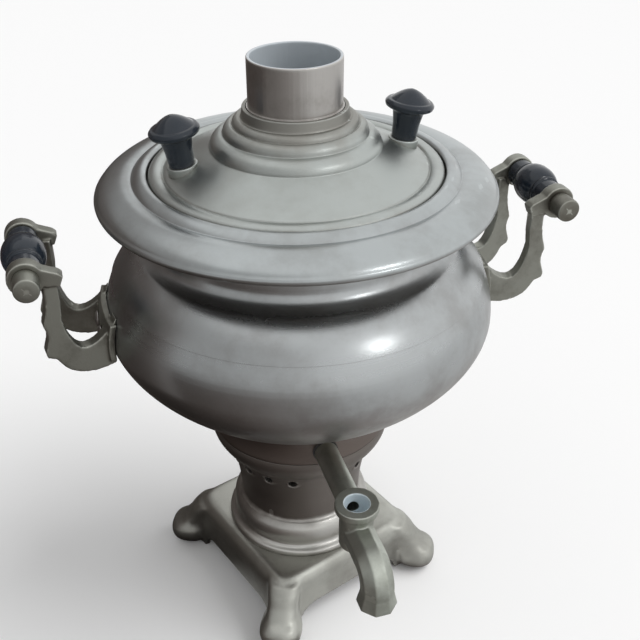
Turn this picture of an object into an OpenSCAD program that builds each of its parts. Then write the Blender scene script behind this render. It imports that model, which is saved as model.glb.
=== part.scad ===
// Small charcoal samovar: a spun urn on a cast foot, with a fire tube rising through its lid.
// Units are millimetres. The tap points along -Y, the handles stand on +X and -X,
// and the feet stand at z = 0. on_axis() moves the urn so that its box is centred on the origin.

/* [Vessel] */
// Widest diameter of the belly
belly_d = 106.6; // [100:0.2:114]
// Height of the widest point of the belly
belly_h = 98.5; // [95:0.5:102]
// Height of the vessel's floor above the table
floor_h = 58.4; // [57:0.2:60]
// Diameter of the foot ring that the tap passes through
foot_ring_d = 50; // [47:0.5:53]
// Height of the foot ring above the floor
foot_ring_h = 9; // [8.6:0.2:11]
// Height of the seam between the bowl and the shoulder
seam_h = 112.5; // [110:0.5:115]
// Width of the lap of the shoulder over the bowl
seam_lap = 1.6; // [1:0.1:2.4]
// How far the lapped hem stands proud
hem = 0.5; // [0.3:0.05:0.8]
// Rise of the shoulder's curve above the belly
shoulder_rise = 24; // [22:0.5:27]
// Outer diameter of the throat under the rim
throat_d = 77.2; // [74:0.2:80]
// Thickness of the spun sheet
sheet = 1.2; // [0.8:0.1:1.6]

/* [Rim] */
// Outer diameter of the wide rim
rim_d = 104; // [98:0.5:112]
// Height of the middle of the rolled edge
rim_h = 133.8; // [132:0.2:136]
// Diameter of the rolled edge
bead_d = 2.4; // [1.8:0.1:3.2]
// Height of the shelf that the lid rests on
seat_h = 136.6; // [135:0.2:138.4]
// Depth of the recess round the lid
recess = 2.4; // [1.6:0.1:3.2]
// Diameter of the mouth inside the shelf
mouth_d = 69.2; // [66:0.2:71]
// Diameter where the two bands of the rim meet
band_d = 84.6; // [83:0.2:88]
// Depth of the skirt that locates the rim in the throat
skirt_h = 5; // [3:0.5:8]

/* [Lid] */
// Diameter of the lid
lid_d = 76; // [73:0.2:78]
// Width of the raised ring round the lid
lid_ring_w = 3.4; // [2.6:0.1:4.2]
// Height of the raised ring
lid_ring_h = 3.3; // [2.6:0.1:4]
// Diameter of the dome's foot
dome_d = 44; // [42:0.5:48]
// Height of the dome's foot above the shelf
dome_foot_h = 8.2; // [7.4:0.2:9.4]
// Height of the dome's three steps together
dome_h = 7.4; // [6.6:0.1:8.4]
// Height of the collar round the fire tube
collar_h = 2.8; // [2:0.1:4]
// Wall of the collar at its top
collar_wall = 0.7; // [0.6:0.05:1.2]
// Thickness of the lid casting
lid_wall = 2; // [1.6:0.1:2.4]
// Depth of the rib that locates the lid in the mouth
lid_rib_h = 3.4; // [2.4:0.1:5]
// Distance of each knob from the middle
knob_at = 29.4; // [28.4:0.2:30]

/* [Knobs] */
// Height of a knob
knob_h = 13.1; // [11:0.1:15]
// Lean of a knob outwards, square to the lid's slope
knob_lean = 8; // [0:0.5:9]
// Diameter of a knob's cap
knob_d = 12.9; // [11:0.1:15]
// Diameter of a knob's stem at its foot
stem_d = 6.5; // [5.6:0.1:7.2]
// Diameter of a knob's stem under the cap
stem_top_d = 8; // [7.4:0.1:8.8]

/* [Fire tube] */
// Outer diameter of the fire tube
tube_d = 24.6; // [23:0.1:25.4]
// Height of the top of the fire tube
tube_top = 167.3; // [162:0.1:174]
// How much smaller in radius the tube is turned over the lid, where a draught pipe slips on
spigot_cut = 0.4; // [0.3:0.05:0.6]
// Wall of the fire tube
tube_wall = 1.3; // [1.1:0.05:1.6]
// Thickness of the grate
grate_t = 1.6; // [1.2:0.1:2.2]
// Width of a bar of the grate
grate_bar = 1.6; // [1.2:0.1:2]
// Diameter of the collar that clamps the floor
clamp_d = 31; // [29.6:0.2:34]
// Thickness of the clamping collar and of the ring nut
clamp_t = 2.2; // [1.6:0.1:3]
// Thickness of a gasket
gasket_t = 0.8; // [0.6:0.05:1.2]

/* [Stand] */
// Height of the foot plate's top
plate_h = 19.6; // [18:0.2:20.4]
// Diameter of the drum at the bottom of the stand
drum_d = 42.6; // [40:0.2:45]
// Reach of the flange under the drum
flange = 1.6; // [1.2:0.1:1.6]
// Height of the drum
drum_h = 11.1; // [10:0.1:12.4]
// Diameter of the groove over the drum
groove_d = 37; // [35.4:0.2:38.4]
// Diameter of the stand under its lip
cup_d = 53.2; // [52.4:0.2:57]
// Wall of the stand, measured level
stand_wall = 1.8; // [1.4:0.1:2.2]
// Number of draught holes
vent_count = 17; // [12:1:17]
// Angle between two draught holes
vent_pitch = 20; // [16:1:21]
// Diameter of a draught hole
vent_d = 2.6; // [2:0.1:3.2]
// Height of the draught holes
vent_h = 48; // [46:0.5:50]

/* [Foot plate] */
// Width of the square plate
plate_w = 52.8; // [50:0.2:57]
// Reach of the toes from the middle
toe_reach = 44.6; // [43:0.2:49]
// Width of a paw
paw_w = 13; // [11.4:0.2:15]
// Height of a paw
paw_h = 8.2; // [7.4:0.2:9]
// Turn of the square under the stand
base_turn = 19.5; // [0:0.5:45]
// Width of the arch between two legs
arch_w = 41; // [38:0.5:42]
// Height of the arch
arch_h = 6.4; // [5:0.1:8]
// Thickness of the plate's top
plate_t = 2.6; // [2:0.1:3.2]
// Thickness of the plate's skirt
plate_skirt = 2.2; // [1.8:0.1:3]
// Diameter of the circle of screws under the plate
screw_circle = 28; // [24:0.5:31]

/* [Handles] */
// Distance between the axes of the two grips
grip_span = 141.4; // [136:0.2:148]
// Height of the grips
grip_h = 123.8; // [121:0.2:127]
// Clear width between the arms of a handle
arm_gap = 19; // [17:0.2:22]
// Thickness of an arm
arm_t = 3.5; // [2.8:0.1:4.2]
// Diameter of the eye at the top of an arm
eye_d = 9; // [8:0.1:10]
// Height of the lowest point of an arm
arm_low = 93.8; // [92:0.2:95.4]
// Thickness of the pad on the belly
pad_t = 1.8; // [1.4:0.1:2.4]
// Height of the pad
pad_h = 10.6; // [9:0.2:13]
// Diameter of a grip at its middle
grip_d = 11.2; // [10:0.1:12.6]
// Diameter of a grip's necks
grip_neck_d = 7.8; // [7:0.1:8.6]
// Diameter of the pin through a grip
pin_d = 3.1; // [2.6:0.1:3.6]
// Diameter of the pin's round head
pin_head_d = 6.4; // [5.6:0.1:7]
// Length of the round head of a pin
pin_head_l = 5.6; // [4.4:0.1:7]
// Angle of each rivet from the middle of the pad
rivet_angle = 4; // [3.4:0.1:4.4]

/* [Tap] */
// Distance of the key's seat from the middle of the urn
seat_reach = 52.2; // [50:0.2:56]
// Height of the tap's tube above the vessel's floor
tap_h = 5.6; // [5:0.1:6]
// Outer diameter of the tube
tap_tube_d = 6.6; // [6:0.1:7.2]
// Diameter of the bores for the tea water
tap_bore_d = 3.4; // [2.8:0.1:3.8]
// Diameter of the ring round the key's seat
seat_ring_d = 11.5; // [10.6:0.1:12.6]
// Diameter of the barrel under the ring
seat_barrel_d = 9; // [8.4:0.1:9.8]
// Diameter of the key's seat
key_d = 6.5; // [6:0.05:7]
// Length of the barrel with its ring
barrel_h = 13.6; // [12.6:0.2:15]
// Width of the eight-sided spout
spout_w = 8; // [7.2:0.1:8.8]
// Level run of the spout from the key's seat to its bend
spout_run = 10.8; // [9.6:0.1:12]
// Radius of the spout's bend
bend_r = 5.2; // [4.8:0.1:6]
// Height of the spout's mouth above the table
spout_h = 49.8; // [48:0.2:51]
// Diameter of the shank through the vessel's wall
shank_d = 5.2; // [4.6:0.1:5.8]

/* [Fasteners] */
// Diameter of a screw's shank
screw_d = 3; // [2.6:0.1:3.4]
// Diameter of a screw's head
screw_head_d = 5.2; // [4.8:0.1:5.8]
// Height of a screw's head
screw_head_h = 1.6; // [1.2:0.1:2]
// Diameter of a rivet's shank
rivet_d = 2.4; // [2:0.1:2.8]
// Diameter of a rivet's head
rivet_head_d = 4.6; // [4:0.1:5]
// Width across the flats of the tap's nut
nut_af = 7; // [6.6:0.1:7.2]
// How far a cutter runs past what it cuts
past = 2; // [1:0.5:3]

/* [Fit] */
// Room between fixed pieces that slip together
fit = 0.1; // [0.05:0.01:0.15]
// Room round a pin that turns
turn_fit = 0.05; // [0.03:0.01:0.08]
// Room between pieces that are lifted apart
lift_fit = 0.4; // [0.3:0.05:0.6]

/* [Hidden] */
$fn = 64;
belly_r = belly_d / 2;
rim_r = rim_d / 2;
throat_r = throat_d / 2;
foot_r = foot_ring_d / 2;
foot_top = floor_h + foot_ring_h;
tube_r = tube_d / 2;
tube_bore_r = tube_r - tube_wall;
lid_r = lid_d / 2;
lid_bore_r = tube_r + lift_fit;
recess_r = lid_r + lift_fit;
skirt_r = throat_r - sheet - fit;
mouth_r = min(mouth_d / 2, skirt_r - sheet);
grip_x = grip_span / 2;
arm_in = arm_gap / 2;
arm_out = arm_in + arm_t;
hem_low = seam_h - seam_lap;

// Middle of the shoulder's elliptical curve
shoulder_c = 30;
// Height at which the shoulder turns up into the throat
turn_up = belly_h + shoulder_rise * 0.85;
throat_low = turn_up + 5;

// Fasteners
screw_r = screw_d / 2;
screw_head_r = screw_head_d / 2;
boss_r = screw_d;
rivet_r = rivet_d / 2;
rivet_head_r = rivet_head_d / 2;
rivet_head_h = rivet_d / 2.4;

// Stand and clamped joint, from the floor downwards
web_t = 1.6;
web_low = floor_h - web_t;
nut_low = web_low - clamp_t;
tube_low = nut_low - 0.4;
grate_low = tube_low + 1.4;
grate_top = grate_low + grate_t + 0.2;
grate_r = tube_bore_r - 0.5;
tube_hole_r = tube_r + fit;
gasket_top = floor_h + sheet + gasket_t;
drum_top = plate_h + drum_h;
groove_r = groove_d / 2;
cup_r = cup_d / 2;
lip_h = 1.4;
ash_floor = plate_h + stand_wall;
vent_start = 88 - vent_pitch * (vent_count - 1) / 2;
boss_top = ash_floor + 0.8 * screw_d;

// Tap
tap_z = floor_h + tap_h;
spout_x = seat_reach + spout_run;
mouth_reach = spout_x + bend_r;
spout_axis = tap_z - 0.55 * spout_w;
lip_flare = 0.9;
barrel_top = tap_z + tap_tube_d / 2 + 1.1;
tap_washer_t = 1.2;
nut_l = 3.4;
shank_in = sheet + nut_l + 1;
shoulder_at = foot_r + tap_washer_t;

// Front and back of the whole samovar, which place its axis in the box
front = mouth_reach + spout_w / 2 + lip_flare * cos(22.5);
back = belly_r;
axis_y = (front - back) / 2;

// Points of a cubic curve from a to d, without its last point
function curve(a, b, c, d, n) =
    [for (i = [0:n - 1]) let (t = i / n, u = 1 - t)
        a * u * u * u + b * 3 * u * u * t + c * 3 * u * t * t + d * t * t * t];

// Points of an arc about [cx, cz]
function arc(cx, cz, r, from, to, n) =
    [for (i = [0:n]) let (a = from + (to - from) * i / n) [cx + r * cos(a), cz + r * sin(a)]];

// Left-hand unit normal of the step from a to b
function normal(a, b) = let (q = b - a) [-q[1], q[0]] / norm(q);

// The path moved to its left by t, with mitred corners
function beside(p, t) = let (last = len(p) - 1)
    [for (i = [0:last])
        let (m = normal(p[max(i - 1, 0)], p[max(i, 1)]),
             n = normal(p[min(i, last - 1)], p[min(i + 1, last)]))
        p[i] + (m + n) * t / (1 + m * n)];

function reversed(p) = [for (i = [len(p) - 1:-1:0]) p[i]];

// Closed outline of a sheet whose left side lies t from the path
function strip(p, t) = concat(p, reversed(beside(p, t)));

// Outer radius of the body at height z above the belly's widest point
function body_r(z) = shoulder_c
    + (belly_r - shoulder_c) * sqrt(1 - pow((z - belly_h) / shoulder_rise, 2));

// Outer outline of the bowl, from its floor's edge to the seam
function bowl_side() = concat(
    [[foot_r, floor_h]],
    curve([foot_r, foot_top],
          [foot_r + 0.46 * (belly_r - foot_r), foot_top + 0.31 * (belly_h - foot_top)],
          [belly_r - 0.4, belly_h - 10.5],
          [belly_r, belly_h], 12),
    [for (i = [0:5]) let (z = belly_h + (seam_h - belly_h) * i / 5) [body_r(z), z]]);

// Outer outline of the shoulder, from its hem to the top of the throat
function shoulder_side(top) = concat(
    [for (i = [0:4]) let (z = hem_low + (turn_up - hem_low) * i / 4) [body_r(z) + hem, z]],
    curve([body_r(turn_up) + hem, turn_up],
          [throat_r + 0.4 * (body_r(turn_up) - throat_r), turn_up + 1.2],
          [throat_r, turn_up + 2.4],
          [throat_r, throat_low], 6),
    [[throat_r, throat_low], [throat_r, top]]);

module on_axis() translate([0, axis_y, 0]) children();

module revolve(outline) rotate_extrude() polygon(outline);

// A stack of level rounded sections [z, centre x, half length, half width, squareness]
module stack(rows, sides) {
    corners = [for (r = rows, k = [0:sides - 1])
        let (a = 360 * (k + 0.5) / sides, c = cos(a), s = sin(a), e = 2 / r[4])
        [r[1] + r[2] * sign(c) * pow(abs(c), e), r[3] * sign(s) * pow(abs(s), e), r[0]]];
    top = (len(rows) - 1) * sides;
    walls = [for (j = [0:len(rows) - 2], k = [0:sides - 1]) let (n = (k + 1) % sides)
        [j * sides + k, (j + 1) * sides + k, (j + 1) * sides + n, j * sides + n]];
    polyhedron(corners, concat(walls,
        [[for (k = [0:sides - 1]) k]],
        [[for (k = [sides - 1:-1:0]) top + k]]));
}

// ---- Foot plate and stand ----

half_w = plate_w / 2;
squareness = 12;

module base_skirt(shrink, low, high) {
    drop = high - low;
    stack([for (s = [[0, 0], [0.5, 0.1], [0.74, 0.3], [0.86, 0.8], [0.94, 1.6], [0.985, 2.6], [1, 3.4]])
        let (w = half_w - shrink - s[1]) [low + drop * s[0], 0, w, w, squareness]], 72);
}

// A leg: a thick paw with rounded edges, then a neck that leans in to the plate's corner. Each row is
// [height, tip, heel, half width], tip and heel being distances in from the paw's reach
module leg() {
    w = paw_w / 2;
    up = (plate_h - paw_h) / 10;
    stack([for (s = [
        [0, 2.6, 10, 0.45 * w], [0.14 * paw_h, 1.2, 11.6, 0.74 * w], [0.35 * paw_h, 0.3, 12.4, 0.93 * w],
        [0.58 * paw_h, 0, 12.6, w], [0.8 * paw_h, 0.2, 12.8, 0.97 * w], [paw_h, 1.2, 13.4, 0.84 * w],
        [paw_h + 1.2 * up, 3.6, 14.4, 0.75 * w], [paw_h + 3.6 * up, 6.2, 16.4, 0.74 * w],
        [paw_h + 6.2 * up, 8, 19.4, 0.79 * w], [paw_h + 8.6 * up, 10.4, 22.6, 0.83 * w]])
        [s[0], toe_reach - (s[1] + s[2]) / 2, (s[2] - s[1]) / 2, s[3], 2.6]], 24);
}

module at_screws() for (a = [0:120:240]) rotate(base_turn + a) translate([screw_circle / 2, 0, 0]) children();

module base() color("#6f6a64") on_axis() difference() {
    union() {
        rotate(base_turn) difference() {
            base_skirt(0, 0, plate_h);
            base_skirt(plate_skirt, -1, plate_h - plate_t);
            for (a = [0, 90]) rotate(a) translate([-arch_w / 2, plate_w, 0]) rotate([90, 0, 0])
                linear_extrude(2 * plate_w) polygon(concat(
                    [[0, -1], [arch_w, -1]],
                    arc(arch_w - arch_h * 1.2, 0, arch_h, 0, 90, 6),
                    arc(arch_h * 1.2, 0, arch_h, 90, 180, 6)));
        }
        for (a = [45:90:315]) rotate(base_turn + a) difference() {
            leg();
            translate([0, 0, -1]) cylinder(r = half_w * 0.9, h = plate_h - plate_t + 1);
        }
    }
    at_screws() translate([0, 0, plate_h - plate_t - 1]) cylinder(r = screw_r + fit, h = plate_t + 2, $fn = 24);
}

module base_screws() color("#9a9a96") on_axis() at_screws() {
    translate([0, 0, plate_h - plate_t - screw_head_h])
        cylinder(r = screw_head_r, h = screw_head_h, $fn = 32);
    translate([0, 0, plate_h - plate_t]) cylinder(r = screw_r, h = boss_top - 1 - plate_h + plate_t, $fn = 24);
}

// Heights of the waist, from the drum to the draught holes, and of the cup over it
waist_h = vent_h - drum_top;
cup_h = floor_h - vent_h;
cup_low_r = cup_r - 0.42 * cup_h;

// Outer side of the stand: a flange on the plate, a small step, the drum, a groove, the waist and the cup
function stand_side() = concat(
    [[drum_d / 2 + flange, plate_h]],
    curve([drum_d / 2 + flange, plate_h + 0.06 * drum_h], [drum_d / 2 + flange, plate_h + 0.2 * drum_h],
          [drum_d / 2 + 0.8 * flange, plate_h + 0.27 * drum_h], [drum_d / 2 + 0.3, plate_h + 0.3 * drum_h], 5),
    curve([drum_d / 2 - 0.2, plate_h + 0.33 * drum_h], [drum_d / 2 + 0.3, plate_h + 0.55 * drum_h],
          [drum_d / 2 - 0.3, drum_top - 0.2 * drum_h], [groove_r + 0.4, drum_top - 0.4], 8),
    [[groove_r + 0.4, drum_top - 0.4], [groove_r, drum_top + 0.4]],
    curve([groove_r + 0.4, drum_top + 1.2], [groove_r + 0.7, drum_top + 0.53 * waist_h],
          [groove_r + 1.5, vent_h - 0.23 * cup_h], [cup_low_r, vent_h + 0.23 * cup_h], 8),
    curve([cup_low_r, vent_h + 0.23 * cup_h], [cup_low_r + 0.26 * cup_h * 0.74, vent_h + 0.46 * cup_h],
          [cup_r, vent_h + 0.71 * cup_h], [cup_r, floor_h], 5),
    [[cup_r, floor_h]]);

// The part of the stand's inner side that lies between its two webs
function stand_inside() = [for (p = stand_side())
    if (p[1] > ash_floor + 0.4 && p[1] < web_low - 0.4) [p[0] - stand_wall, p[1]]];

// The ring of draught holes, which leaves out the place under the tap
module at_vents() for (i = [0:vent_count - 1])
    rotate(vent_start + vent_pitch * i) translate([groove_r - 4, 0, vent_h]) rotate([0, 90, 0]) children();

module stand() color("#8d8a84") on_axis() difference() {
    union() {
        revolve(concat(
            [[0, plate_h]], stand_side(),
            [[cup_r - 0.3, floor_h + lip_h], [foot_r + fit, floor_h + lip_h], [foot_r + fit, floor_h],
             [tube_hole_r, floor_h], [tube_hole_r, web_low]],
            [[cup_r - stand_wall, web_low]],
            reversed(stand_inside()),
            [[drum_d / 2 - 1.2 - stand_wall, ash_floor], [0, ash_floor]]));
        at_screws() translate([0, 0, plate_h + 1]) cylinder(r = boss_r, h = boss_top - plate_h - 1, $fn = 32);
    }
    at_screws() translate([0, 0, plate_h - 1]) cylinder(r = screw_r + fit, h = boss_top - plate_h + 2, $fn = 24);
    at_vents() cylinder(d = vent_d, h = cup_r, $fn = 24);
}

// ---- Vessel ----

module bowl() color("#a3a3a0") on_axis() difference() {
    revolve(concat(
        [[tube_hole_r, floor_h]], bowl_side(),
        reversed(beside(bowl_side(), sheet)),
        [[tube_hole_r, floor_h + sheet]]));
    translate([0, 0, tap_z]) rotate([90, 0, 0])
        cylinder(r = shank_d / 2 + fit, h = foot_r + past, $fn = 32);
    rivet_holes(belly_r);
}

module shoulder() color("#a3a3a0") on_axis() let (top = seat_h - sheet,
        side = shoulder_side(top),
        inner = [for (p = beside(side, sheet)) if (p[1] > seam_h + 0.6) p])
    revolve(concat(
        side, reversed(inner),
        [[body_r(seam_h) + hem - sheet, seam_h + fit],
         [body_r(seam_h) + fit, seam_h + fit],
         [body_r(hem_low) + fit, hem_low]]));

function rim_top() = concat(
    [[mouth_r, seat_h], [recess_r, seat_h], [recess_r, seat_h + recess]],
    curve([recess_r + 0.4, seat_h + recess + 0.4], [recess_r + 1.3, seat_h + recess + 1.2],
          [band_d / 2 - 1.2, seat_h + 2.7], [band_d / 2, seat_h + 1.4], 7),
    curve([band_d / 2, seat_h + 1.4], [band_d / 2 + 3, seat_h + 2.4],
          [rim_r - 1.8, rim_h + 3.4], [rim_r - 0.5, rim_h + 0.7], 10),
    [[rim_r - 0.5, rim_h + 0.7]]);

module rim() color("#b0b0ac") on_axis() {
    revolve(strip(rim_top(), -sheet));
    rotate_extrude() translate([rim_r - bead_d / 2, rim_h]) circle(d = bead_d, $fn = 24);
    skirt_top = seat_h - sheet / 2 + (skirt_r > recess_r ? recess : 0);
    revolve([[skirt_r - sheet, seat_h - sheet - skirt_h], [skirt_r, seat_h - sheet - skirt_h],
             [skirt_r, skirt_top], [skirt_r - sheet, skirt_top]]);
}

// ---- Fire tube and its joint with the floor ----

module fire_tube() color("#8a7f72") on_axis() revolve([
    [tube_bore_r - 1.4, tube_low], [tube_r, tube_low],
    [tube_r, gasket_top], [clamp_d / 2, gasket_top], [clamp_d / 2, gasket_top + clamp_t],
    [tube_r, gasket_top + clamp_t], [tube_r, spigot_low], [spigot_r, spigot_low],
    [spigot_r, tube_top - 0.2], [spigot_r - 0.2, tube_top], [tube_bore_r, tube_top],
    [tube_bore_r, grate_top], [grate_r + fit, grate_top], [grate_r + fit, grate_low],
    [tube_bore_r - 1.4, grate_low]]);

module tube_gasket() color("#3a3a38") on_axis() translate([0, 0, floor_h + sheet]) difference() {
    cylinder(d = clamp_d, h = gasket_t);
    translate([0, 0, -1]) cylinder(r = tube_hole_r, h = gasket_t + 2);
}

module ring_nut() color("#9a8d5e") on_axis() translate([0, 0, nut_low]) difference() {
    cylinder(d = clamp_d, h = clamp_t);
    translate([0, 0, -1]) cylinder(r = tube_hole_r, h = clamp_t + 2);
    for (a = [0:60:300]) rotate(a) translate([clamp_d / 2 - 1.2, -1.2, -1])
        cube([3, 2.4, clamp_t + 2]);
}

module grate() color("#4d4a46") on_axis() translate([0, 0, grate_low]) difference() {
    cylinder(r = grate_r, h = grate_t);
    slot_l = 2 * (tube_bore_r - 2.6);
    pitch = 2 * grate_bar + 0.4;
    for (i = [-2:2]) let (l = slot_l * sqrt(1 - pow(i * pitch / (slot_l / 2 + 2), 2)))
        translate([-l / 2, i * pitch - (pitch - grate_bar) / 2, -1])
            cube([l, pitch - grate_bar, grate_t + 2]);
}

// ---- Lid and knobs ----

dome_r = dome_d / 2;
dome_foot = seat_h + dome_foot_h;
ring_top = seat_h + lid_ring_h;
ring_in = lid_r - lid_ring_w;
collar_low = dome_foot + dome_h;
collar_r = lid_bore_r + collar_wall;
spigot_low = collar_low + collar_h + 0.1;
spigot_r = tube_r - spigot_cut;
field_low = ring_top - 0.4;

// Height of the lid's sloping field at distance r from the middle
function field_z(r) = field_low + (dome_foot - field_low) * (ring_in - 0.6 - r) / (ring_in - 0.6 - dome_r);

knob_foot = field_z(knob_at - stem_d / 2);
knob_drop = knob_foot - field_z(knob_at + stem_d / 2) + lid_wall;

// The foot of the knob on side s, leaning outwards
module at_knob(s) translate([s * knob_at, 0, knob_foot]) rotate([0, s * knob_lean, 0]) children();

// Three rounded steps from the dome's foot up to the collar
function dome_steps() = let (w = dome_r - collar_r - 0.9) concat(
    arc(dome_r - 0.44 * w, dome_foot, 0.44 * w, 0, 80, 6),
    arc(dome_r - 0.76 * w, dome_foot + 0.5 * dome_h, 0.3 * w, 0, 80, 5),
    arc(dome_r - w, dome_foot + 0.8 * dome_h, 0.22 * w, 0, 80, 4));

module lid() color("#b9b9b2") on_axis() difference() {
    union() {
        revolve(concat(
            [[lid_r - 0.2, seat_h], [lid_r, seat_h + 0.3]],
            curve([lid_r, seat_h + lid_ring_h - 1.6], [lid_r - 0.1, ring_top - 0.2],
                  [ring_in + 1.2, ring_top + 0.2], [ring_in, ring_top - 0.5], 7),
            [[ring_in, ring_top - 0.5], [ring_in - 0.3, ring_top - 0.8], [ring_in - 0.6, field_low],
             [dome_r, dome_foot]],
            dome_steps(),
            [[collar_r + 0.4, collar_low], [collar_r, collar_low + collar_h],
             [lid_bore_r, collar_low + collar_h], [lid_bore_r, collar_low - lid_wall],
             [dome_r - 4, dome_foot + 1.4 - lid_wall + 1],
             [dome_r - 0.8, dome_foot - lid_wall],
             [ring_in - 1.4, seat_h + 0.6], [mouth_r - lift_fit - 1.4, seat_h],
             [mouth_r - lift_fit - 1.4, seat_h - lid_rib_h], [mouth_r - lift_fit, seat_h - lid_rib_h],
             [mouth_r - lift_fit, seat_h]]));
        for (s = [-1, 1]) at_knob(s) translate([0, 0, -knob_drop]) cylinder(d = stem_d + 1.4, h = knob_drop, $fn = 32);
    }
    for (s = [-1, 1]) at_knob(s) translate([0, 0, -knob_drop - 3])
        cylinder(r = screw_r + fit, h = knob_drop + 5, $fn = 24);
}

cap_low = knob_h - 5.6;
screw_in_knob = 6;

module knob(s) color("#17181c") on_axis() at_knob(s) difference() {
    revolve(concat(
        [[0, 0], [stem_d / 2, 0], [stem_top_d / 2, cap_low - 0.4]],
        [[knob_d / 2 - 1, cap_low + 0.2], [knob_d / 2 - 0.2, cap_low + 0.7], [knob_d / 2, cap_low + 1.4],
         [knob_d / 2 - 0.6, cap_low + 2.1]],
        curve([knob_d / 2 - 0.6, cap_low + 2.1], [knob_d / 2 - 2.8, cap_low + 3],
              [2.8, knob_h - 1.2], [1.4, knob_h - 0.3], 6),
        [[1.4, knob_h - 0.3], [0, knob_h]]));
    translate([0, 0, -1]) cylinder(r = screw_r + fit, h = screw_in_knob + 1.4, $fn = 24);
}

module knob_left() knob(-1);
module knob_right() knob(1);

module knob_screws() color("#9a9a96") on_axis() for (s = [-1, 1]) at_knob(s) {
    translate([0, 0, -knob_drop - screw_head_h]) cylinder(r = screw_head_r, h = screw_head_h, $fn = 32);
    translate([0, 0, -knob_drop]) cylinder(r = screw_r, h = knob_drop + screw_in_knob, $fn = 24);
}

// ---- Handles ----

rivet_z = belly_h + 1.5;
pad_low = belly_h - 3;
arm_mid = arm_in + arm_t / 2;
// Each arm stands square on the belly, so the two arms draw together towards it
splay = atan(arm_mid / grip_x);
pad_angle = asin((arm_mid * belly_r / grip_x + arm_t / 2 + 0.9) / belly_r);

module at_rivets() for (s = [0, 180], a = [-rivet_angle, rivet_angle])
    rotate(s + a) translate([0, 0, rivet_z]) children();

// Holes for the rivets, each on its own side of the vessel, out to the distance far
module rivet_holes(far) at_rivets() rotate([0, 90, 0]) translate([0, 0, foot_r])
    cylinder(r = rivet_r + fit, h = far - foot_r + past, $fn = 24);

// Outer side of the body between heights low and high, moved out by t
function belly_path(low, high, t) = [for (i = [0:8]) let (z = low + (high - low) * i / 8)
    [body_r(z) + (z > hem_low - 0.3 ? hem : 0) + t, z]];

module body_volume(t) let (path = belly_path(belly_h - 12, pad_low + pad_h + 4, t))
    revolve(concat([[0, path[0][1]]], path, [[0, path[8][1]]]));

// A point of the arm's outline, as shares of its reach from belly to grip and of its rise
reach = grip_x - belly_r;
rise = grip_h - arm_low;
function on_arm(u, v) = [belly_r + u * reach, arm_low + v * rise];

function arm_outline() = concat(
    curve(on_arm(-0.14, 0.04), on_arm(0.2, -0.05), on_arm(0.62, -0.02), on_arm(0.76, 0.16), 8),
    [on_arm(0.8, 0.2), on_arm(0.92, 0.23), on_arm(0.93, 0.28)],
    curve(on_arm(0.9, 0.34), on_arm(0.84, 0.42), on_arm(0.86, 0.46), on_arm(0.9, 0.53), 4),
    curve(on_arm(0.9, 0.53), on_arm(0.9, 0.6), on_arm(0.8, 0.62), on_arm(0.81, 0.88), 5),
    [on_arm(0.81, 0.88), on_arm(0.81, 0.96), on_arm(0.6, 0.96)],
    curve(on_arm(0.6, 0.82), on_arm(0.59, 0.66), on_arm(0.65, 0.58), on_arm(0.62, 0.53), 5),
    curve(on_arm(0.62, 0.53), on_arm(0.58, 0.4), on_arm(0.5, 0.26), on_arm(0.36, 0.25), 6),
    curve(on_arm(0.36, 0.25), on_arm(0.2, 0.24), on_arm(0, 0.36), on_arm(-0.14, 0.46), 6),
    [on_arm(-0.14, 0.46)]);

// The leaf that sweeps over the eye and back towards the body
function leaf_outline() = let (r = eye_d / 2) concat(
    arc(grip_x, grip_h, r, 150, 40, 8),
    [[grip_x + 0.2 * r, grip_h], [grip_x - r, grip_h - 0.6 * r]],
    [[belly_r + 0.56 * reach, grip_h - 3], [belly_r + 0.5 * reach, grip_h - 0.4]],
    [[belly_r + 0.56 * reach, grip_h + 0.6]]);

// One arm with the eye and the leaf at its top, on side s of the grip's middle
module arm(s) {
    translate([grip_x, s * arm_mid, 0]) rotate(s * splay) translate([-grip_x, arm_t / 2, 0])
        rotate([90, 0, 0]) linear_extrude(arm_t) polygon(arm_outline());
    translate([0, s * arm_mid + arm_t / 2, 0]) rotate([90, 0, 0]) {
        linear_extrude(arm_t) polygon(leaf_outline());
        translate([grip_x, grip_h, 0]) cylinder(d = eye_d, h = arm_t, $fn = 40);
    }
}

module handle() difference() {
    union() {
        rotate(-pad_angle) rotate_extrude(angle = 2 * pad_angle)
            polygon(concat(belly_path(pad_low, pad_low + pad_h, fit),
                           reversed(belly_path(pad_low, pad_low + pad_h, pad_t))));
        arm(-1);
        arm(1);
    }
    body_volume(fit);
    translate([grip_x, arm_in, grip_h]) rotate([90, 0, 0]) cylinder(d = eye_d + 0.6, h = arm_gap, $fn = 40);
    translate([grip_x, arm_out + 1, grip_h]) rotate([90, 0, 0])
        cylinder(r = pin_d / 2 + turn_fit, h = 2 * arm_out + 2, $fn = 32);
    rivet_holes(belly_r + pad_t);
}

module handle_left() color("#aaada4") on_axis() rotate(180) handle();
module handle_right() color("#aaada4") on_axis() handle();

module handle_rivets() color("#8f8f8b") on_axis() at_rivets() rotate([0, 90, 0]) {
    outer = belly_r + pad_t;
    inner = body_r(rivet_z) - sheet - rivet_head_h;
    translate([0, 0, inner]) cylinder(r = rivet_r, h = outer + rivet_head_h / 2 - inner, $fn = 24);
    translate([0, 0, outer]) cylinder(r1 = rivet_head_r, r2 = 0.65 * rivet_head_r, h = rivet_head_h, $fn = 32);
    translate([0, 0, inner]) cylinder(r = 0.9 * rivet_head_r, h = 0.7 * rivet_head_h, $fn = 32);
}

grip_l = arm_gap - 0.6;

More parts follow.
